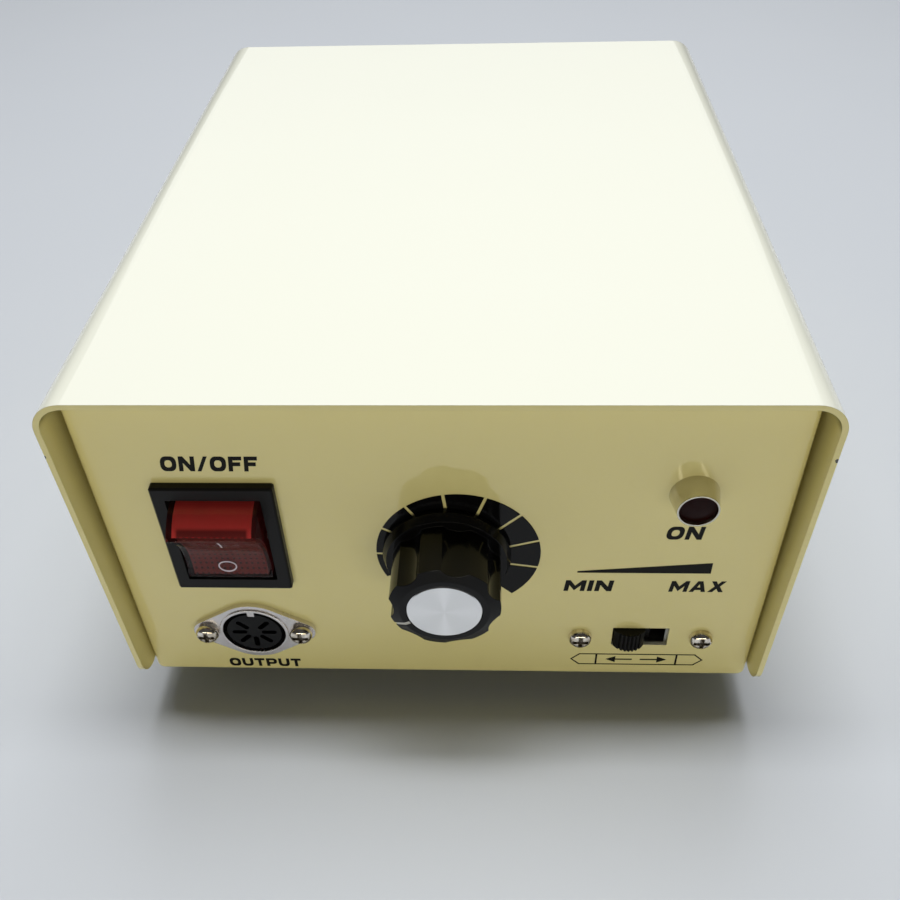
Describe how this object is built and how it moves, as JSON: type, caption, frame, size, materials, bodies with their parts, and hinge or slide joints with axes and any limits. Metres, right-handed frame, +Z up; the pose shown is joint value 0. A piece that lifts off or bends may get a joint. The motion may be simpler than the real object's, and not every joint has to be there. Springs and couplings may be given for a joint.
{
  "type": "nail drill machine",
  "caption": "Folded steel control box of an electric nail drill, with a rocker switch, a round socket, a speed knob, a pilot lamp and a slide switch on a recessed front panel.",
  "frame": {"origin": "on the tabletop, under the middle of the whole box", "axes": "+X to the right of someone who faces the controls, +Y to the back, +Z up"},
  "size_m": [0.1514, 0.2006, 0.0976],
  "materials": {
    "cover_paint": "satin cream paint",
    "chassis_paint": "satin cream paint",
    "foot_rubber": "matt black rubber",
    "screw_nickel": "bright nickel plate",
    "nut_steel": "zinc plate",
    "bezel_plastic": "semi-gloss black",
    "rocker_red": "translucent red",
    "contact_brass": "plain brass",
    "terminal_tin": "tinned",
    "neon_glass": "clear glass",
    "socket_nickel": "satin nickel",
    "insert_plastic": "matt black",
    "knob_plastic": "satin black",
    "pointer_white": "white fill",
    "disc_aluminium": "spun",
    "grub_steel": "black oxide",
    "shaft_brass": "turned",
    "can_steel": "zinc plate",
    "wafer_phenolic": "brown phenolic",
    "wiper_plastic": "natural nylon",
    "scale_ink": "gloss black print",
    "lamp_nickel": "bright nickel",
    "lens_red": "dark red lens",
    "diode_clear": "red diffused",
    "button_plastic": "satin black",
    "core_steel": "varnished laminations",
    "bobbin_nylon": "natural nylon",
    "winding_tape": "yellow tape",
    "strap_zinc": "zinc plate",
    "board_laminate": "green solder mask",
    "heatsink_aluminium": "mill finish",
    "device_black": "black epoxy",
    "capacitor_sleeve": "dark blue sleeve",
    "connector_white": "natural nylon",
    "fuse_plastic": "satin black",
    "fuse_glass": "clear glass",
    "gland_rubber": "satin black"
  },
  "bodies": {
    "case": {"cover": "cover_paint", "chassis": "chassis_paint", "rubber_feet": "foot_rubber", "foot_screws": "screw_nickel", "cover_screws": "screw_nickel", "socket_screws": "screw_nickel", "slide_screws": "screw_nickel", "floor_screws": "screw_nickel", "board_screws": "screw_nickel", "floor_nuts": "nut_steel", "socket_nuts": "nut_steel", "speed_nut": "nut_steel", "speed_washer": "nut_steel", "lamp_nut": "nut_steel", "switch_housing": "bezel_plastic", "socket_contacts": "contact_brass", "switch_terminals": "terminal_tin", "speed_lugs": "terminal_tin", "slide_terminals": "terminal_tin", "socket_flange": "socket_nickel", "socket_key": "socket_nickel", "socket_insert": "insert_plastic", "speed_bushing": "shaft_brass", "speed_can": "can_steel", "slide_frame": "can_steel", "speed_wafer": "wafer_phenolic", "slide_base": "wafer_phenolic", "speed_scale": "scale_ink", "lamp_bezel": "lamp_nickel", "lamp_lens": "lens_red", "lamp_diode": "diode_clear", "transformer_core": "core_steel", "transformer_bobbin": "bobbin_nylon", "transformer_windings": "winding_tape", "transformer_strap": "strap_zinc", "board_standoffs": "strap_zinc", "circuit_board": "board_laminate", "heatsink": "heatsink_aluminium", "power_transistors": "device_black", "bridge_rectifier": "device_black", "reservoir_capacitor": "capacitor_sleeve", "small_capacitors": "capacitor_sleeve", "board_connector": "connector_white", "fuse_holder": "fuse_plastic", "fuse_nut": "fuse_plastic", "cord_gland": "gland_rubber"},
    "rocker": {"rocker": "rocker_red", "switch_plungers": "contact_brass", "switch_neon": "neon_glass"},
    "switch_blades": {"switch_blades": "contact_brass"},
    "speed_knob": {"knob": "knob_plastic", "knob_disc": "disc_aluminium", "knob_pointer": "pointer_white", "knob_grub_screw": "grub_steel", "speed_shaft": "shaft_brass", "speed_wiper": "wiper_plastic"},
    "direction_button": {"slide_button": "button_plastic", "slide_contacts": "contact_brass"},
    "fuse_drawer": {"fuse_cap": "fuse_plastic", "fuse": "fuse_glass"}
  },
  "joints": [
    {"name": "power_rocker", "type": "hinge", "parent": "case", "child": "rocker", "pos_m": [-0.04631, -0.08331, 0.05695], "axis": [-1, 0, 0], "range_deg": [0, 36]},
    {"name": "contact_tilt", "type": "hinge", "parent": "case", "child": "switch_blades", "pos_m": [-0.04631, -0.0733, 0.05695], "axis": [-1, 0, 0], "range_deg": [-11, 0]},
    {"name": "speed_turn", "type": "hinge", "parent": "case", "child": "speed_knob", "pos_m": [0.00115, -0.084, 0.0518], "axis": [0, 1, 0], "range_deg": [0, 256]},
    {"name": "direction_slide", "type": "slide", "parent": "case", "child": "direction_button", "axis": [1, 0, 0], "range_m": [0, 0.0047]},
    {"name": "fuse_withdraw", "type": "slide", "parent": "case", "child": "fuse_drawer", "axis": [0, 1, 0], "range_m": [0, 0.026]}
  ],
  "couplings": [
    {"joint": "contact_tilt", "follows": "power_rocker", "ratio": -0.30556}
  ]
}
